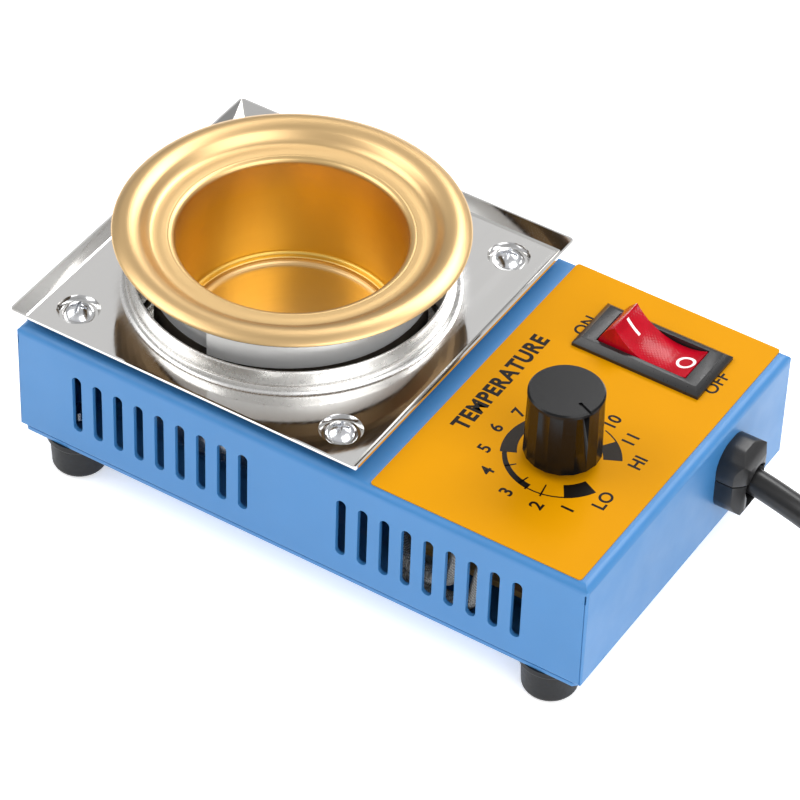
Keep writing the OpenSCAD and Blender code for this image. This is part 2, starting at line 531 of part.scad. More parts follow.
module film_capacitor() color([0.86, 0.20, 0.14]) translate([48.6, -30, board_z + 1.6]) {
  intersection() {
    cube([7.4, 13, 5.8]);
    translate([3.7, 20, 2.9]) rotate([90, 0, 0]) linear_extrude(30) rrect(7.4, 5.8, 1.2);
  }
}
module suppressor_choke() color([0.75, 0.40, 0.18]) translate([34.5, -3.6, board_z + 1.6]) rotate_extrude() translate([4.4, 2.1]) circle(2.0, $fn = 32);
module terminal_block() color([0.93, 0.93, 0.90]) translate([46.5, -7.5, board_z + 1.6]) difference() {
  cube([10, 9.6, 8]);
  for (y = [2.4, 7.2]) translate([5, y, 4]) { cylinder(r = 1.7, h = 6, $fn = 32); rotate([0, 90, 0]) translate([0.6, 0, -7]) cylinder(r = 1.4, h = 14, $fn = 32); }
}
// ---- inner leads ----
sleeve_a = route([[1.2, -1.4, 22.2], [5, -1.7, 22.2], [9.5, -6, 21.6], [13.5, -17, 20], [18, -29, 18.8], [25, -37.4, 18.4], [32, -39.2, 18.8], [36.8, -39.6, 21.2], [38.7, -39.7, 26], [39.4, -39.0, 31.2], [41.4, -36.4, 33.6], [44.4, -31.6, 32.6], [45.6, -27, 29], [45, -22, 25], [43.6, -14, 22.6], [43.3, -7.4, 22], [44.9, -5.6, 22]], 2);
sleeve_b = route([[1.2, 2.7, 22.2], [6, 2.8, 22.2], [12.6, -1, 20.2], [15.6, -12, 16.8], [16.6, -25, 14.5], [22, -35.5, 14.3], [30, -39, 14.3], [37, -39.6, 14.6], [41.6, -39.8, 16.8], [44, -39.8, 21], [44.9, -39.6, 27], [47.2, -38.4, 31.2], [50.4, -35.6, 31], [51.4, -31, 28.6], [50.4, -22, 27.1], [46, -14.5, 26.6], [42, -5.6, 26.6], [41.9, -0.9, 24.2], [44, -0.2, 22.2], [45.9, -0.3, 22]], 2);
module heater_sleeves() color([0.66, 0.65, 0.61]) { lead(sleeve_a, 1.9, 10); lead(sleeve_b, 1.9, 10); }
wire_l = route([[66.5, 18.6, 26.4], [63, 18.9, 25.8], [61.2, 21, 22], [60.4, 24, 19], [59.4, 26, 18.2], [57.95, 26.3, 18.2]], 3);
wire_n = route([[66.5, 15.8, 26.0], [63.8, 15, 25.6], [62.4, 9, 24.4], [61, 3.5, 23.2], [59, 0.4, 22.3], [56.8, -0.3, 22.0]], 3);
wire_s = route([[33.8, 26.3, 18.4], [31.2, 25.4, 17.8], [30, 21, 17], [32, 14, 17.5], [38, 8, 20.6], [41.5, 5, 22.4], [44.0, 3.2, 21.5], [45.3, 2.7, 20.2]], 3);
module mains_wires() color([0.45, 0.27, 0.16]) { lead(wire_l, 1.0, 8); lead(wire_n, 1.0, 8); lead(wire_s, 1.0, 8); }
wire_e = route([[66.5, 17.2, 24.0], [63, 16.6, 20.5], [59, 16, 15.6], [50, 17, 13.2], [38, 20, 12.7], [28, 23.6, 12.5], [22, 25, 12.4]], 3);
module earth_lead() color([0.35, 0.60, 0.20]) {
  lead(wire_e, 1.1, 8);
  translate([earth_x, earth_y, shell_z0]) ring(3.6, 1.95, 0, 0.8);
  translate([earth_x + 3.2, earth_y - 1.4, shell_z0]) cube([2.8, 2.8, 2.6]);
}
module earth_screw() color([0.80, 0.74, 0.45]) translate([earth_x, earth_y, 0]) {
  translate([0, 0, shell_z0 + 0.8]) cylinder(r = 3.2, h = 2.2);
  translate([0, 0, plate_z0 - 2.2]) cylinder(r = 1.9, h = 4);
  translate([0, 0, plate_z0 - 2.2]) cylinder(r = 3.8, h = 2.2, $fn = 6);
}

// ---- lead bushing ----
// Two halves grip the lead: the upper one hooks over it, and the lower one closes the grip.
sr_w = 12.6;
sr_z0 = cord_z - 8.1;
sr_z1 = cord_z + 8.9;
module bushing_block() {
  x0 = body_l / 2;
  zc = (sr_z0 + sr_z1) / 2;
  intersection() {
    translate([x0, 0, 0]) rotate([90, 0, 90]) translate([cord_y, zc, 0]) linear_extrude(7) rrect(sr_w, sr_z1 - sr_z0, 5.2);
    // face that falls away to all sides
    translate([x0, cord_y, 0]) linear_extrude(60) polygon([[-1, -8], [-1, 8], [2.9, 8], [4.2, 6.3], [5.8, 4.9], [6.7, 3.4], [7, 1.8],
      [7, -1.8], [6.7, -3.4], [5.8, -4.9], [4.2, -6.3], [2.9, -8]]);
    translate([x0, 30, zc]) rotate([90, 0, 0]) linear_extrude(60) polygon([[-1, -11], [-1, 11], [2.6, 11], [4.3, 8.5], [5.8, 7.1], [6.7, 5.2], [7, 3.2],
      [7, -3.2], [6.7, -5.2], [5.8, -7.1], [4.3, -8.5], [2.6, -11]]);
  }
  // neck through the wall, and the catch behind it
  translate([x0 - 4.6, cord_y, cord_z]) rotate([0, 90, 0]) linear_extrude(4.7) intersection() { circle(6.1); square([12.2, 10.6], center = true); }
}
module bushing_bores() {
  translate([body_l / 2 - 6, cord_y, cord_z]) rotate([0, 90, 0]) cylinder(r = 3.12, h = 20);
  // flared mouth
  translate([body_l / 2 + 3.4, cord_y, cord_z]) rotate([0, 90, 0]) cylinder(r1 = 3.12, r2 = 4.3, h = 3.7);
}
module strain_relief_upper() color([0.13, 0.13, 0.14]) difference() {
  bushing_block();
  bushing_bores();
  translate([body_l / 2 - 10, cord_y - 10, cord_z - 20]) cube([30, 20, 21.9]);
  // arched mouth of the hood
  translate([body_l / 2 + 2.6, cord_y, cord_z + 1]) rotate([0, 90, 0]) cylinder(r = 3.7, h = 10);
}
module strain_relief_lower() color([0.12, 0.12, 0.13]) difference() {
  bushing_block();
  bushing_bores();
  translate([body_l / 2 - 10, cord_y - 10, cord_z + 1.55]) cube([30, 20, 20]);
  // slot under the lead
  translate([body_l / 2 + 2.4, cord_y - 3.2, cord_z - 6.2]) cube([10, 6.4, 10]);
  translate([body_l / 2 + 6.3, cord_y - 10, cord_z - 12]) cube([10, 20, 20]);
}

// ---- mains lead outside ----
coil_x = 149.5;
coil_y = 1;
coil_r = 33;
run_pts = [[67, cord_y, cord_z], [72, cord_y, cord_z], [78, 17.2, 25.2], [88, 17.4, 22.4], [96, 18.7, 18.2], [104, 21.3, 12.8], [112, 25.1, 7.8], [121, 30.2, 4.2], [130, 34.8, 3.0], [137, 37.9, 3.0]];
tail_pts = [[162, 38.0, 9.0], [169, 34.8, 9.1], [177, 30.4, 10.4], [185, 27.0, 13.2], [193, 25.2, 16.2], [200, 24.6, 17.8], [208, 24.5, 18.1]];
plug_x = 204;
plug_y = 24.5;
plug_z = 18.1;
module power_cord() color([0.13, 0.13, 0.14]) lead(route(run_pts, 3), cord_d / 2, 12);
module cord_tail() color([0.13, 0.13, 0.14]) lead(route(tail_pts, 3), cord_d / 2, 12);
module cord_coil() color([0.13, 0.13, 0.14]) difference() {
  translate([coil_x, coil_y, 0]) rotate_extrude() translate([coil_r, 6]) rrect(18, 12, 2.9);
  translate([coil_x - 2.6, coil_y + coil_r - 12, -1]) cube([5.2, 24, 1.9]);
  translate([coil_x - 2.6, coil_y + coil_r - 12, 11.1]) cube([5.2, 24, 1.9]);
}
module cord_tie() color([0.10, 0.10, 0.11]) translate([coil_x, coil_y + coil_r, 0]) difference() {
  translate([-2.4, -10.2, 0]) cube([4.8, 20.4, 12.4]);
  translate([-4, -9.4, 0.8]) cube([8, 18.8, 10.8]);
}
module plug_body() color([0.13, 0.13, 0.14]) translate([plug_x, plug_y, plug_z]) rotate([0, 90, 0]) difference() {
  union() {
    // bend sleeve, hood and face
    cylinder(r1 = 4.4, r2 = 6.4, h = 12.2);
    translate([0, 0, 12]) cylinder(r1 = 8.5, r2 = 13, h = 8);
    translate([0, 0, 20]) cylinder(r1 = 13, r2 = 18.1, h = 6);
    translate([0, 0, 26]) cylinder(r = 18.1, h = 15);
  }
  translate([0, 0, -1]) cylinder(r = 3.05, h = 9);
  for (s = [-1, 1]) translate([s > 0 ? 16.2 : -26.2, -3.2, 26]) cube([10, 6.4, 20]);
  // side notches of the face and the earth socket
  for (s = [-1, 1]) translate([-3.6, s > 0 ? 15.6 : -25.6, 27]) cube([7.2, 10, 20]);
  translate([9.0, 0, 24]) cylinder(r = 2.5, h = 20, $fn = 32);
}
module plug_pins() color([0.80, 0.78, 0.70]) translate([plug_x + 41, plug_y, plug_z]) rotate([0, 90, 0]) for (s = [-1, 1]) translate([0, s * 9.5, 0]) {
  cylinder(r = 2.4, h = 17.4);
  translate([0, 0, 17.4]) cylinder(r1 = 2.4, r2 = 1.4, h = 1.6);
}
module plug_earth_clips() color([0.80, 0.78, 0.70]) translate([plug_x, plug_y, plug_z]) rotate([0, 90, 0]) for (s = [-1, 1]) translate([s > 0 ? 16.25 : -17.25, -2.6, 28]) cube([1.0, 5.2, 12]);

housing_shell();
base_plate();
rubber_feet();
foot_screws();
foot_nuts();
drip_tray();
tray_screws();
tray_nuts();
crucible();
mica_heater();
clamp_strap();
clamp_screw();
heat_shield();
insulation_pad();
shield_bracket();
bracket_screws();
control_label();
switch_body();
switch_rocker();
switch_lamp();
switch_plunger();
switch_terminals();
control_knob();
dial_spindle();
potentiometer();
dial_washer();
dial_nut();
dimmer_board();
board_spacers();
board_screws();
triac();
triac_heatsink();
film_capacitor();
suppressor_choke();
terminal_block();
heater_sleeves();
mains_wires();
earth_lead();
earth_screw();
strain_relief_upper();
strain_relief_lower();
power_cord();
cord_coil();
cord_tail();
cord_tie();
plug_body();
plug_pins();
plug_earth_clips();
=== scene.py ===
import bpy, bmesh, math
from mathutils import Vector, Matrix


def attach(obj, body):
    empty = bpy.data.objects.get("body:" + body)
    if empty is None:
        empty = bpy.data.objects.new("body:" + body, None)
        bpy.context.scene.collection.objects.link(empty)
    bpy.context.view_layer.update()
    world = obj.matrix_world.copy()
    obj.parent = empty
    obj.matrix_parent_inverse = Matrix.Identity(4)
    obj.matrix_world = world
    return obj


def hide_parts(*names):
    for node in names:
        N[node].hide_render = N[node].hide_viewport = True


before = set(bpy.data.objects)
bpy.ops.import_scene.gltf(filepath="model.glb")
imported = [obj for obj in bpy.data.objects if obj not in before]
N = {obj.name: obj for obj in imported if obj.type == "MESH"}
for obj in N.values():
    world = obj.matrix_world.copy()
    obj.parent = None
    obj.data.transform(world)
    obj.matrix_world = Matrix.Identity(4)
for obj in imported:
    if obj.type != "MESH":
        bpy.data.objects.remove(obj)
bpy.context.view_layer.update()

scene = bpy.context.scene
scene.view_settings.view_transform = "Standard"
scene.view_settings.look = "None"
MM = 0.001

# ------------------------------------------------------------------ helpers
def link(o):
    scene.collection.objects.link(o)
    return o


def mesh_obj(name, verts, faces, body="base", smooth=True, angle=35):
    me = bpy.data.meshes.new(name)
    me.from_pydata([tuple(v) for v in verts], [], faces)
    me.update()
    bm = bmesh.new()
    bm.from_mesh(me)
    bmesh.ops.recalc_face_normals(bm, faces=bm.faces)
    bm.to_mesh(me)
    bm.free()
    if smooth:
        me.shade_smooth()
        me.set_sharp_from_angle(angle=math.radians(angle))
    o = link(bpy.data.objects.new(name, me))
    if body:
        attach(o, body)
    return o


def revolve(name, prof, centre, segs=128, body="base", angle=35, closed=True):
    """Turns (r, z) points in mm about a vertical axis through centre."""
    verts, faces = [], []
    n = len(prof)
    for i in range(segs):
        a = 2 * math.pi * i / segs
        for r, z in prof:
            verts.append(((centre[0] + r * math.cos(a)) * MM, (centre[1] + r * math.sin(a)) * MM, z * MM))
    for i in range(segs):
        j = (i + 1) % segs
        for k in range(n if closed else n - 1):
            l = (k + 1) % n
            faces.append((i * n + k, j * n + k, j * n + l, i * n + l))
    return mesh_obj(name, verts, faces, body, True, angle)


def prism(name, outline, z0, z1, body="base", bevel=0.0, angle=35):
    """An outline in mm, drawn up from z0 to z1."""
    n = len(outline)
    verts = [(x * MM, y * MM, z0 * MM) for x, y in outline] + [(x * MM, y * MM, z1 * MM) for x, y in outline]
    faces = [tuple(range(n - 1, -1, -1)), tuple(range(n, 2 * n))]
    faces += [(i, (i + 1) % n, n + (i + 1) % n, n + i) for i in range(n)]
    o = mesh_obj(name, verts, faces, body, True, angle)
    if bevel:
        add_bevel(o, bevel)
    return o


def add_bevel(o, width_mm, segs=2, angle=32, weld=True):
    if weld:
        w = o.modifiers.new("weld", "WELD")
        w.merge_threshold = 2e-6
    b = o.modifiers.new("bevel", "BEVEL")
    b.width = width_mm * MM
    b.segments = segs
    b.limit_method = "ANGLE"
    b.angle_limit = math.radians(angle)
    b.harden_normals = True
    b.use_clamp_overlap = True
    return b


def smooth_node(o, angle=30):
    me = o.data
    me.shade_smooth()
    me.set_sharp_from_angle(angle=math.radians(angle))


# ------------------------------------------------------------------ camera
AZ, EL, ROLL = math.radians(31.0003), math.radians(42.4443), math.radians(2.18574)
DIST, FPX, TX, TY = 874.271, 4077.948, -0.7313, -8.2792
right = Vector((math.cos(AZ), math.sin(AZ), 0))
back = Vector((math.sin(AZ) * math.cos(EL), -math.cos(AZ) * math.cos(EL), math.sin(EL)))
up = back.cross(right)
r2 = math.cos(ROLL) * right + math.sin(ROLL) * up
u2 = -math.sin(ROLL) * right + math.cos(ROLL) * up
pos = (r2 * TX + u2 * TY + back * DIST + Vector((0, 0, 33.0))) * MM
cam_data = bpy.data.cameras.new("camera")
cam_data.sensor_fit = "HORIZONTAL"
cam_data.sensor_width = 36.0
cam_data.lens = FPX * 36.0 / 800.0
cam_data.clip_start = 0.01
cam_data.clip_end = 20.0
cam = link(bpy.data.objects.new("camera", cam_data))
rot = Matrix((r2, u2, back)).transposed()
cam.matrix_world = Matrix.Translation(pos) @ rot.to_4x4()
scene.camera = cam

# ------------------------------------------------------------------ node materials
class Mat:
    """A Principled material with a small helper for its nodes."""

    def __init__(self, name, color=(0.8, 0.8, 0.8), rough=0.5, metal=0.0, **kw):
        self.m = bpy.data.materials.new(name)
        self.m.use_nodes = True
        self.t = self.m.node_tree
        self.p = self.t.nodes["Principled BSDF"]
        self.set("Base Color", (*color, 1))
        self.set("Roughness", rough)
        self.set("Metallic", metal)
        for k, v in kw.items():
            self.set(k.replace("_", " "), v)
        self.m.diffuse_color = (*color, 1)

    def set(self, k, v):
        self.p.inputs[k].default_value = v

    def node(self, kind, **kw):
        n = self.t.nodes.new(kind)
        for k, v in kw.items():
            if k in n.inputs:
                n.inputs[k].default_value = v
            else:
                setattr(n, k, v)
        return n

    def wire(self, a, b):
        self.t.links.new(a, b)

    def coords(self, scale=(1, 1, 1), rot=(0, 0, 0), loc=(0, 0, 0)):
        """Object coordinates in millimetres."""
        tc = self.node("ShaderNodeTexCoord")
        mp = self.node("ShaderNodeMapping")
        mp.inputs["Scale"].default_value = tuple(1000 * s for s in scale)
        mp.inputs["Rotation"].default_value = rot
        mp.inputs["Location"].default_value = loc
        self.wire(tc.outputs["Object"], mp.inputs["Vector"])
        return mp.outputs["Vector"]

    def noise(self, vec, scale=1.0, detail=2.0, rough=0.5, dist=0.0):
        n = self.node("ShaderNodeTexNoise")
        n.inputs["Scale"].default_value = scale
        n.inputs["Detail"].default_value = detail
        n.inputs["Roughness"].default_value = rough
        n.inputs["Distortion"].default_value = dist
        self.wire(vec, n.inputs["Vector"])
        return n.outputs["Fac"]

    def ramp(self, fac, stops, interp="LINEAR"):
        r = self.node("ShaderNodeValToRGB")
        cr = r.color_ramp
        cr.interpolation = interp
        while len(cr.elements) < len(stops):
            cr.elements.new(0.5)
        for e, (p, c) in zip(cr.elements, stops):
            e.position = p
            e.color = (*c, 1) if len(c) == 3 else c
        self.wire(fac, r.inputs["Fac"])
        return r.outputs["Color"]

    def maprange(self, fac, a, b, c, d):
        r = self.node("ShaderNodeMapRange")
        r.inputs["From Min"].default_value = a
        r.inputs["From Max"].default_value = b
        r.inputs["To Min"].default_value = c
        r.inputs["To Max"].default_value = d
        self.wire(fac, r.inputs["Value"])
        return r.outputs["Result"]

    def bump(self, height, strength=0.2, dist_mm=0.1, prev=None):
        b = self.node("ShaderNodeBump")
        b.inputs["Strength"].default_value = strength
        b.inputs["Distance"].default_value = dist_mm * MM
        self.wire(height, b.inputs["Height"])
        if prev is not None:
            self.wire(prev, b.inputs["Normal"])
        return b.outputs["Normal"]

    def math(self, op, a, b=None, c=None):
        n = self.node("ShaderNodeMath")
        n.operation = op
        for i, x in enumerate((a, b, c)):
            if x is None:
                continue
            if isinstance(x, (int, float)):
                n.inputs[i].default_value = x
            else:
                self.wire(x, n.inputs[i])
        return n.outputs[0]

    def to(self, out, socket):
        self.wire(out, self.p.inputs[socket])


def srgb(r, g, b):
    f = lambda c: (c / 255 / 12.92) if c / 255 <= 0.04045 else ((c / 255 + 0.055) / 1.055) ** 2.4
    return (f(r), f(g), f(b))


def mix2(a, b, t):
    return tuple(x * (1 - t) + y * t for x, y in zip(a, b))


def vary(m, vec, col, amount, scale, detail=3.0):
    """Small change of shade over the surface."""
    f = m.noise(vec, scale, detail)
    lo, hi = tuple(c * (1 - amount) for c in col), tuple(min(1, c * (1 + amount)) for c in col)
    m.to(m.ramp(f, [(0.3, lo), (0.7, hi)]), "Base Color")


# blue powder coat on the housing
blue = (0.047, 0.207, 0.475)
m_blue = Mat("blue_powder_coat", blue, 0.38)
m_blue.set("Specular IOR Level", 0.5)
v = m_blue.coords()
vary(m_blue, v, blue, 0.03, 0.05)
f = m_blue.noise(v, 1.7, 3.0)
f2 = m_blue.noise(v, 0.12, 2.0)
m_blue.to(m_blue.bump(f, 0.10, 0.05, m_blue.bump(f2, 0.12, 0.25)), "Normal")
m_blue.to(m_blue.maprange(f2, 0.3, 0.7, 0.34, 0.44), "Roughness")

# mirror-polished stainless steel of the tray
m_tray = Mat("polished_stainless", (0.80, 0.79, 0.77), 0.08, 1.0)
v = m_tray.coords()
wav = m_tray.noise(v, 0.035, 1.5, 0.4)
fine = m_tray.noise(m_tray.coords((1.2, 0.02, 1)), 1.0, 2.0)
tc = m_tray.node("ShaderNodeTexCoord")
tv = m_tray.node("ShaderNodeVectorMath", operation="SUBTRACT")
m_tray.wire(tc.outputs["Object"], tv.inputs[0])
tv.inputs[1].default_value = (-29.3 * MM, 0.6 * MM, 0)
ts = m_tray.node("ShaderNodeSeparateXYZ")
m_tray.wire(tv.outputs[0], ts.inputs[0])
trad = m_tray.math("SQRT", m_tray.math("ADD", m_tray.math("MULTIPLY", ts.outputs[0], ts.outputs[0]), m_tray.math("MULTIPLY", ts.outputs[1], ts.outputs[1])))
soft = m_tray.maprange(trad, 0.0365, 0.0395, 0.20, 0.0)
m_tray.to(m_tray.bump(fine, 0.02, 0.03, m_tray.bump(wav, 0.22, 1.0)), "Normal")
m_tray.to(m_tray.math("ADD", m_tray.maprange(fine, 0.3, 0.7, 0.05, 0.11), soft), "Roughness")

m_steel = Mat("polished_strap_steel", (0.88, 0.88, 0.87), 0.38, 0.55)
v = m_steel.coords()
f = m_steel.noise(m_steel.coords((0.03, 0.03, 2.2)), 1.0, 3.0)
m_steel.to(m_steel.bump(f, 0.05, 0.03), "Normal")
m_steel.to(m_steel.maprange(f, 0.3, 0.7, 0.32, 0.44), "Roughness")

m_cup = Mat("brushed_cup_steel", (0.74, 0.73, 0.71), 0.2, 1.0)
f = m_cup.noise(m_cup.coords((0.03, 0.03, 3.0)), 1.0, 3.0)
m_cup.to(m_cup.bump(f, 0.10, 0.04), "Normal")
m_cup.to(m_cup.maprange(f, 0.3, 0.7, 0.14, 0.28), "Roughness")

m_zinc = Mat("zinc_plated_steel", (0.78, 0.79, 0.80), 0.18, 1.0)
v = m_zinc.coords()
f = m_zinc.noise(v, 1.6, 3.0)
vary(m_zinc, v, (0.76, 0.77, 0.79), 0.08, 0.8)
m_zinc.to(m_zinc.bump(f, 0.10, 0.04), "Normal")
m_zinc.to(m_zinc.maprange(f, 0.3, 0.7, 0.14, 0.26), "Roughness")


def spun(m, cx, cy, strength, dist, rough, scale=2.2):
    """Fine rings left by spinning, round a vertical axis at cx, cy in mm."""
    tc = m.node("ShaderNodeTexCoord")
    sub = m.node("ShaderNodeVectorMath", operation="SUBTRACT")
    m.wire(tc.outputs["Object"], sub.inputs[0])
    sub.inputs[1].default_value = (cx * MM, cy * MM, 0)
    sep = m.node("ShaderNodeSeparateXYZ")
    m.wire(sub.outputs[0], sep.inputs[0])
    rad = m.math("SQRT", m.math("ADD", m.math("MULTIPLY", sep.outputs[0], sep.outputs[0]), m.math("MULTIPLY", sep.outputs[1], sep.outputs[1])))
    comb = m.node("ShaderNodeCombineXYZ")
    m.wire(m.math("MULTIPLY", rad, 1000.0 * scale), comb.inputs[0])
    m.wire(m.math("MULTIPLY", sep.outputs[2], 1000.0 * scale), comb.inputs[1])
    ang = m.math("ARCTAN2", sep.outputs[1], sep.outputs[0])
    m.wire(m.math("MULTIPLY", ang, 0.5), comb.inputs[2])
    n = m.noise(comb.outputs[0], 1.0, 4.0, 0.6)
    m.to(m.bump(n, strength, dist), "Normal")
    m.to(m.maprange(n, 0.3, 0.7, rough[0], rough[1]), "Roughness")
    return n, rad, sep.outputs[2]


POT = (-29.3, 0.6)
gold = (0.72, 0.49, 0.235)
m_gold = Mat("gilt_crucible", gold, 0.38, 1.0)
n, rad, zed = spun(m_gold, POT[0], POT[1], 0.03, 0.03, (0.34, 0.41), 1.0)
# Painted reflection and highlight: the inner wall between about 28.5 and 46 mm is tinted a deeper amber, standing in
# for the gold walls reflecting one another; the floor below 27 mm is brought back to the lighter gold as a painted
# highlight, and the rim above 55 mm keeps the plain gold.
painted_wall_reflection = m_gold.math("MAXIMUM", m_gold.maprange(zed, 0.046, 0.0552, 0.0, 1.0), m_gold.maprange(zed, 0.0285, 0.0270, 0.0, 1.0))
mx = m_gold.node("ShaderNodeMix", data_type="RGBA")
mx.inputs[6].default_value = (0.80, 0.55, 0.11, 1)
mx.inputs[7].default_value = (*gold, 1)
m_gold.wire(painted_wall_reflection, mx.inputs[0])
# Painted shade: faces turned downwards (the crucible's underside) are coloured dark brown, standing in for the shade
# under the rim and dimming its reflection in the tray.
geo = m_gold.node("ShaderNodeNewGeometry")
gsep = m_gold.node("ShaderNodeSeparateXYZ")
m_gold.wire(geo.outputs["Normal"], gsep.inputs[0])
painted_underside_shade = m_gold.maprange(gsep.outputs[2], -0.30, -0.05, 1.0, 0.0)
mx2 = m_gold.node("ShaderNodeMix", data_type="RGBA")
mx2.inputs[7].default_value = (0.13, 0.085, 0.045, 1)
m_gold.wire(mx.outputs[2], mx2.inputs[6])
m_gold.wire(painted_underside_shade, mx2.inputs[0])
m_gold.to(mx2.outputs[2], "Base Color")

m_label = Mat("orange_label_film", (0.63, 0.27, 0.0), 0.42)
m_label.set("Specular IOR Level", 0.05)
v = m_label.coords()
vary(m_label, v, (0.63, 0.27, 0.0), 0.02, 0.06)
f = m_label.noise(v, 0.9, 3.0)
m_label.to(m_label.bump(f, 0.05, 0.03), "Normal")

m_print = Mat("dark_print", srgb(18, 13, 9), 0.5)
m_print.set("Specular IOR Level", 0.15)
v = m_print.coords()
vary(m_print, v, srgb(18, 13, 9), 0.12, 0.5)
m_print.to(m_print.maprange(m_print.noise(v, 2.0), 0.3, 0.7, 0.36, 0.5), "Roughness")


def plastic(name, col, rough, grain=2.5, strength=0.08, dist=0.04, var=0.05, **kw):
    m = Mat(name, col, rough, **kw)
    v = m.coords()
    vary(m, v, col, var, 0.3)
    f = m.noise(v, grain, 3.0)
    m.to(m.bump(f, strength, dist), "Normal")
    m.to(m.maprange(f, 0.3, 0.7, rough * 0.9, min(1, rough * 1.12)), "Roughness")
    return m


m_black = plastic("black_moulded_plastic", srgb(33, 33, 34), 0.30, 2.0, 0.06)
m_knob = plastic("knob_bakelite", srgb(13, 13, 14), 0.24, 1.2, 0.03)
m_knob.set("Specular IOR Level", 0.24)
m_bush = plastic("black_nylon", srgb(32, 32, 33), 0.36, 1.4, 0.10)
m_rubber = plastic("black_rubber", srgb(26, 27, 29), 0.48, 1.2, 0.16, 0.08)
m_rubber.set("Specular IOR Level", 0.3)
m_cord = plastic("cord_pvc", srgb(22, 22, 23), 0.34, 0.7, 0.10, 0.10)
m_white_glow = plastic("white_mark", srgb(250, 235, 235), 0.4)
# Painted glow: the white marks get a faint emission, so they read brighter than their lit colour.
m_white_glow.set("Emission Color", (1, 0.92, 0.92, 1))
m_white_glow.set("Emission Strength", 0.15)
m_nylon = plastic("white_nylon", srgb(225, 224, 214), 0.45)
m_mica = plastic("mica", srgb(66, 58, 48), 0.6, 0.6, 0.3, 0.2, 0.3)
m_fibre = plastic("ceramic_fibre", srgb(226, 222, 208), 0.9, 1.5, 0.5, 0.3, 0.1)
m_board = plastic("phenolic_board", srgb(196, 160, 96), 0.5, 2.0, 0.1, 0.04, 0.1)
m_chip = plastic("component_epoxy", srgb(40, 40, 42), 0.5, 3.0, 0.1)
m_capred = plastic("capacitor_case", srgb(188, 52, 36), 0.3)
m_copper = plastic("enamelled_copper", (0.72, 0.34, 0.14), 0.3, 1.5, 0.2, 0.1, 0.15, metal=1.0)
m_brass = plastic("brass", (0.80, 0.62, 0.30), 0.25, 1.5, 0.08, 0.04, 0.08, metal=1.0)
m_alu = plastic("aluminium", (0.78, 0.79, 0.80), 0.3, 1.5, 0.1, 0.04, 0.05, metal=1.0)
m_brown = plastic("brown_wire", srgb(120, 70, 40), 0.4)
m_green = plastic("green_yellow_wire", srgb(90, 150, 50), 0.4)

# woven glass-fibre sleeve
m_sleeve = Mat("glass_fibre_sleeve", srgb(176, 174, 166), 0.75)
v1 = m_sleeve.coords((1, 1, 1), (0, 0, 0.78))
w1 = m_sleeve.node("ShaderNodeTexWave", wave_type="BANDS", bands_direction="DIAGONAL")
w1.inputs["Scale"].default_value = 0.9
w1.inputs["Distortion"].default_value = 0.6
m_sleeve.wire(v1, w1.inputs["Vector"])
w2 = m_sleeve.node("ShaderNodeTexWave", wave_type="BANDS", bands_direction="DIAGONAL")
w2.inputs["Scale"].default_value = 0.9
w2.inputs["Distortion"].default_value = 0.6
m_sleeve.wire(m_sleeve.coords((1, 1, -1), (0, 0, -0.78)), w2.inputs["Vector"])
hh = m_sleeve.math("MULTIPLY", w1.outputs["Fac"], w2.outputs["Fac"])
m_sleeve.to(m_sleeve.bump(hh, 0.8, 0.35), "Normal")
m_sleeve.to(m_sleeve.ramp(hh, [(0.0, srgb(120, 118, 112)), (0.6, srgb(206, 204, 198))]), "Base Color")

# translucent red rocker
m_red = Mat("red_rocker", srgb(222, 14, 44), 0.12)
v = m_red.coords()
tc = m_red.node("ShaderNodeTexCoord")
f = m_red.noise(v, 0.25, 2.0)
m_red.to(m_red.ramp(f, [(0.3, srgb(186, 4, 28)), (0.7, srgb(206, 8, 38))]), "Base Color")
m_red.set("Specular IOR Level", 0.15)
m_red.set("Transmission Weight", 0.25)
m_red.set("IOR", 1.49)
m_red.set("Coat Weight", 0.05)
m_red.set("Coat Roughness", 0.08)
wx = m_red.node("ShaderNodeTexWave", wave_type="BANDS", bands_direction="X")
wx.inputs["Scale"].default_value = 0.5
m_red.wire(m_red.coords((1, 1, 1), (0, 0, 0.785)), wx.inputs["Vector"])
wy = m_red.node("ShaderNodeTexWave", wave_type="BANDS", bands_direction="Y")
wy.inputs["Scale"].default_value = 0.5
m_red.wire(m_red.coords((1, 1, 1), (0, 0, 0.785)), wy.inputs["Vector"])
m_red.to(m_red.bump(m_red.math("MULTIPLY", wx.outputs["Fac"], wy.outputs["Fac"]), 0.25, 0.10, m_red.bump(m_red.noise(v, 2.0, 2.0), 0.05, 0.03)), "Normal")
m_lamp = Mat("lamp_glass", (1.0, 0.55, 0.35), 0.1)
m_lamp.set("Transmission Weight", 0.6)
m_lamp.to(m_lamp.bump(m_lamp.noise(m_lamp.coords(), 1.0), 0.1, 0.05), "Normal")

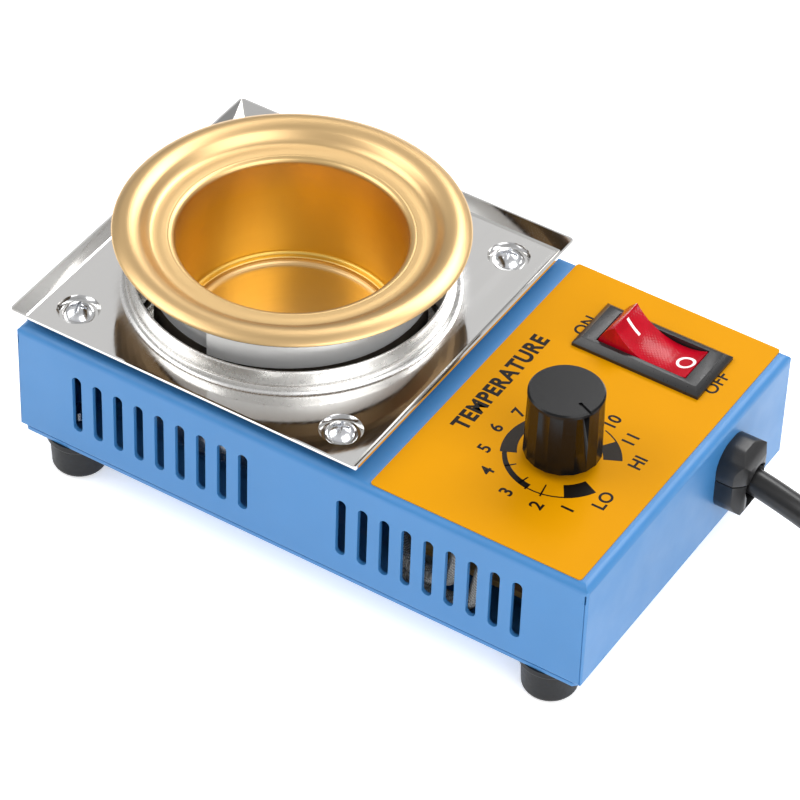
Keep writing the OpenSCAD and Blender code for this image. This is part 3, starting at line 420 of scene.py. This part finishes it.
USE = {
    "housing_shell": m_blue, "base_plate": m_blue, "rubber_feet": m_rubber, "foot_screws": m_zinc, "foot_nuts": m_zinc,
    "drip_tray": m_tray, "tray_screws": m_zinc, "tray_nuts": m_zinc, "crucible": m_gold, "mica_heater": m_mica,
    "clamp_strap": m_steel, "clamp_screw": m_zinc, "heat_shield": m_cup, "insulation_pad": m_fibre,
    "shield_bracket": m_cup, "bracket_screws": m_zinc, "control_label": m_label, "switch_body": m_black,
    "switch_rocker": m_red, "switch_lamp": m_lamp, "switch_plunger": m_brass, 
    "switch_terminals": m_brass, "control_knob": m_knob, "dial_spindle": m_alu, "potentiometer": m_cup,
    "dial_washer": m_zinc, "dial_nut": m_brass, "dimmer_board": m_board, "board_spacers": m_nylon,
    "board_screws": m_zinc, "triac": m_chip, "triac_heatsink": m_alu, "film_capacitor": m_capred,
    "suppressor_choke": m_copper, "terminal_block": m_nylon, "heater_sleeves": m_sleeve, "mains_wires": m_brown,
    "earth_lead": m_green, "earth_screw": m_brass, "strain_relief_upper": m_bush, "strain_relief_lower": m_bush,
    "power_cord": m_cord, "cord_coil": m_cord, "cord_tail": m_cord, "cord_tie": m_bush, "plug_body": m_cord,
    "plug_pins": m_zinc, "plug_earth_clips": m_zinc,
}
for name, o in N.items():
    o.data.materials.clear()
    o.data.materials.append(USE[name].m)
    smooth_node(o)

BEV = {"base_plate": 0.12, "strain_relief_upper": 0.5, "strain_relief_lower": 0.5, "switch_body": 0.25,
       "switch_rocker": 0.3, "plug_body": 0.8, "tray_screws": 0.1, "cord_tie": 0.3}
for name, w in BEV.items():
    add_bevel(N[name], w)

# ------------------------------------------------------------------ mains lead
CY, CZ = 17.2, 25.4
run = [(67, CY, CZ), (72, CY, CZ), (78, 17.2, 25.2), (88, 17.4, 22.4), (96, 18.7, 18.2), (104, 21.3, 12.8), (112, 25.1, 7.8),
       (121, 30.2, 4.2), (130, 34.8, 3.0)]
tail = [(169, 34.8, 9.1), (177, 30.4, 10.4), (185, 27.0, 13.2), (193, 25.2, 16.2), (200, 24.6, 17.8), (208, 24.5, 18.1)]
COIL = (149.5, 1.0)


def ease(t):
    t = max(0.0, min(1.0, t))
    return t * t * (3 - 2 * t)


def coil_point(phi):
    """A turn's point, phi in degrees from where the lead enters."""
    lo = 39 - 6 * ease((phi - 320) / 40) - 6 * ease((phi - 680) / 40)
    hi = 6 * ease((phi - 1290) / 40) + 6 * ease((phi - 1650) / 40)
    z = 3 + 6 * ease((phi - 970) / 70)
    a = math.radians(120 - phi)
    return (COIL[0] + (lo + hi) * math.cos(a), COIL[1] + (lo + hi) * math.sin(a), z)


def catmull(pts, k):
    out = []
    n = len(pts)
    for i in range(n - 1):
        a, b, c, d = (Vector(pts[max(i - 1, 0)]), Vector(pts[i]), Vector(pts[i + 1]), Vector(pts[min(i + 2, n - 1)]))
        for j in range(k):
            t = j / k
            out.append(0.5 * ((2 * b) + (c - a) * t + (2 * a - 5 * b + 4 * c - d) * t * t + (3 * b - a - 3 * c + d) * t ** 3))
    out.append(Vector(pts[-1]))
    return out


line = catmull(run, 3) + [Vector(coil_point(p)) for p in range(12, 1850, 12)] + catmull(tail, 3)
cd = bpy.data.curves.new("mains_lead", "CURVE")
cd.dimensions = "3D"
cd.bevel_depth = 3.0 * MM
cd.bevel_resolution = 5
cd.use_fill_caps = True
sp = cd.splines.new("POLY")
sp.points.add(len(line) - 1)
for q, pt in zip(sp.points, line):
    q.co = (*[c * MM for c in pt], 1)
sp.use_smooth = True
lead = link(bpy.data.objects.new("mains_lead", cd))
lead.data.materials.append(m_cord.m)
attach(lead, "base")
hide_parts("power_cord", "cord_coil", "cord_tail")

# ------------------------------------------------------------------ print on the label
LZ = 39.25
KX, KY = 46.5, -12.2
print_bits = []


def flat(name, outline, z0=LZ - 0.01, z1=LZ + 0.03, mat=m_print, body="base"):
    o = prism(name, outline, z0, z1, body)
    o.data.materials.append(mat.m)
    return o


def sector(r0, r1, a0, a1, cx=KX, cy=KY, n=None, taper=None):
    """A ring sector's outline; taper gives the inner radius at the far end."""
    n = n or max(4, int(abs(a1 - a0) / 3))
    t = lambda i: i / n
    outer = [(cx + r1 * math.cos(math.radians(a0 + (a1 - a0) * t(i))), cy + r1 * math.sin(math.radians(a0 + (a1 - a0) * t(i)))) for i in range(n + 1)]
    inner = []
    for i in range(n, -1, -1):
        r = r0 if taper is None else r0 + (taper - r0) * t(i)
        inner.append((cx + r * math.cos(math.radians(a0 + (a1 - a0) * t(i))), cy + r * math.sin(math.radians(a0 + (a1 - a0) * t(i)))))
    return outer + inner


def text(name, body_txt, x, y, size, rot_deg=90, bold=0.0, mat=m_print, z=LZ, thick=0.03, ride="base", squeeze=1.0):
    cu = bpy.data.curves.new(name, "FONT")
    cu.body = body_txt
    cu.size = size * MM
    cu.align_x = "CENTER"
    cu.align_y = "CENTER"
    cu.extrude = thick * MM
    cu.offset = bold * MM
    cu.resolution_u = 6
    cu.space_character = 1.0 + 0.6 * bold
    tmp = link(bpy.data.objects.new(name + "_tmp", cu))
    dg = bpy.context.evaluated_depsgraph_get()
    me = bpy.data.meshes.new_from_object(tmp.evaluated_get(dg))
    bpy.data.objects.remove(tmp)
    bm = bmesh.new()
    bm.from_mesh(me)
    xs = [q.co.x for q in bm.verts]
    ys = [q.co.y for q in bm.verts]
    mid = Vector(((min(xs) + max(xs)) / 2, (min(ys) + max(ys)) / 2, 0))
    M = Matrix.Translation(Vector((x, y, z)) * MM) @ Matrix.Rotation(math.radians(rot_deg), 4, "Z") @ Matrix.Diagonal((squeeze, 1, 1, 1)) @ Matrix.Translation(-mid)
    bmesh.ops.transform(bm, matrix=M, verts=bm.verts)
    bmesh.ops.remove_doubles(bm, verts=bm.verts, dist=1e-7)
    bm.to_mesh(me)
    bm.free()
    me.materials.clear()
    me.materials.append(mat.m)
    o = link(bpy.data.objects.new(name, me))
    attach(o, ride)
    return o


for s, x, y in (("7", 32.15, -5.77), ("6", 30.62, -12.47), ("5", 31.91, -19.26), ("4", 35.86, -24.74), ("3", 42.45, -27.9),
                ("2", 49.65, -27.83), ("1", 55.47, -25.13), ("LO", 60.36, -18.86), ("10", 49.84, 2.98), ("11", 55.75, 0.17),
                ("HI", 60.53, -5.15), ("8", 36.3, 0.2), ("9", 42.6, 3.2)):
    text("dial_" + s, s, x, y, 4.1, 90, 0.09)
text("switch_ON", "ON", 29.6, 25.7, 4.0, 90, 0.08)
text("switch_OFF", "OFF", 62.1, 25.5, 4.0, 90, 0.08)
text("dial_word", "TEMPERATURE", 24.0, 0.2, 5.3, 90, 0.2, squeeze=0.9)

# the dial's printed scale: blocks, ticks, thick arc and crescent
RX, RY = 46.6, -12.3
m_grey = plastic("grey_print", srgb(40, 34, 28), 0.5)
m_grey.set("Specular IOR Level", 0.15)
flat("dial_arc_thin", sector(12.1, 12.42, -57, -97, RX, RY))
flat("dial_arc_right", sector(12.2, 12.5, 55, 74, RX, RY))
flat("dial_block_lo", sector(8.6, 12.5, -57.5, -25.5, RX, RY))
flat("dial_block_hi", sector(8.5, 12.5, 27.5, 55.4, RX, RY), mat=m_grey)
flat("dial_arc_thick", sector(11.0, 12.5, -97, -153, RX, RY, 24, taper=11.5))
flat("dial_step", sector(11.0, 12.8, -95.4, -97.4, RX, RY))
for i, (a, r0, r1) in enumerate(((-80, 9.3, 13.0), (-105.7, 9.7, 12.4), (-132.7, 9.9, 12.4))):
    flat("dial_tick_%d" % i, sector(r0, r1, a - 0.9, a + 0.9, RX, RY))
flat("dial_crescent", sector(9.4, 13.0, -152.8, -204, RX, RY, 24, taper=10.6), mat=m_grey)


# the rocker's marks follow its hollow top
def on_rocker(o):
    c, sn = math.cos(math.radians(16)), math.sin(math.radians(16))
    for v in o.data.vertices:
        x, y, z = v.co.x / MM, v.co.y / MM, v.co.z / MM
        z += 17.6 - math.sqrt(14.2 ** 2 - x * x)
        v.co = Vector((45.9 + c * x + sn * z, 26.3 + y, 37.3 - sn * x + c * z)) * MM
    o.data.update()


on_rocker(flat("rocker_mark_i", [(-8.6 + 0.4 * k, -0.38) for k in range(11)] + [(-4.6 - 0.4 * k, 0.38) for k in range(11)], -0.2, 0.04, m_white_glow, "rocker"))
for k in range(24):
    on_rocker(flat("rocker_mark_o_%d" % k, sector(1.35, 1.95, 15 * k, 15 * k + 15.2, 7.0, 0.0, 2), -0.2, 0.04, m_white_glow, "rocker"))

# ------------------------------------------------------------------ floor and light
fl = mesh_obj("floor", [(-6, -6, 0), (6, -6, 0), (6, 6, 0), (-6, 6, 0)], [(0, 1, 2, 3)], None, False)
m_floor = Mat("floor_white", (0.93, 0.93, 0.93), 0.9)
m_floor.set("Specular IOR Level", 0.0)
m_floor.set("Emission Color", (1, 1, 1, 1))
m_floor.set("Emission Strength", 0.5)
m_floor.to(m_floor.ramp(m_floor.noise(m_floor.coords((0.01, 0.01, 0.01)), 1.0, 2.0), [(0.3, (0.925, 0.925, 0.925)), (0.7, (0.935, 0.935, 0.935))]), "Base Color")
fl.data.materials.append(m_floor.m)

world = bpy.data.worlds.new("studio")
scene.world = world
world.use_nodes = True
bg = world.node_tree.nodes["Background"]
bg.inputs["Color"].default_value = (1.0, 1.0, 1.0, 1)
bg.inputs["Strength"].default_value = 0.72
wt = world.node_tree
w_tc = wt.nodes.new("ShaderNodeTexCoord")
w_sep = wt.nodes.new("ShaderNodeSeparateXYZ")
wt.links.new(w_tc.outputs["Generated"], w_sep.inputs[0])
w_r = wt.nodes.new("ShaderNodeValToRGB")
w_r.color_ramp.elements[0].position = 0.0
w_r.color_ramp.elements[0].color = (0.55, 0.56, 0.58, 1)
w_r.color_ramp.elements[1].position = 1.0
w_r.color_ramp.elements[1].color = (0.70, 0.70, 0.70, 1)
for pos, val in ((0.28, 0.42), (0.45, 0.80), (0.62, 1.0), (0.8, 0.9)):
    e = w_r.color_ramp.elements.new(pos)
    e.color = (val, val, val * 1.01, 1)
wt.links.new(w_sep.outputs[2], w_r.inputs[0])
wt.links.new(w_r.outputs[0], bg.inputs["Color"])


def area(name, loc, target, size, power, col=(1, 1, 1)):
    d = bpy.data.lights.new(name, "AREA")
    d.shape = "RECTANGLE"
    d.size, d.size_y = size
    d.energy = power
    d.color = col
    o = link(bpy.data.objects.new(name, d))
    o.location = loc
    o.rotation_euler = (Vector(target) - Vector(loc)).to_track_quat("-Z", "Y").to_euler()
    return o


area("key_left", (-0.9, -0.5, 1.0), (0, 0, 0.03), (0.9, 0.9), 7.2)
area("fill_right", (1.0, -0.3, 0.8), (0, 0, 0.03), (1.1, 1.1), 10)
area("top_back", (0.1, 0.9, 1.0), (0, 0, 0.03), (1.0, 0.5), 10)
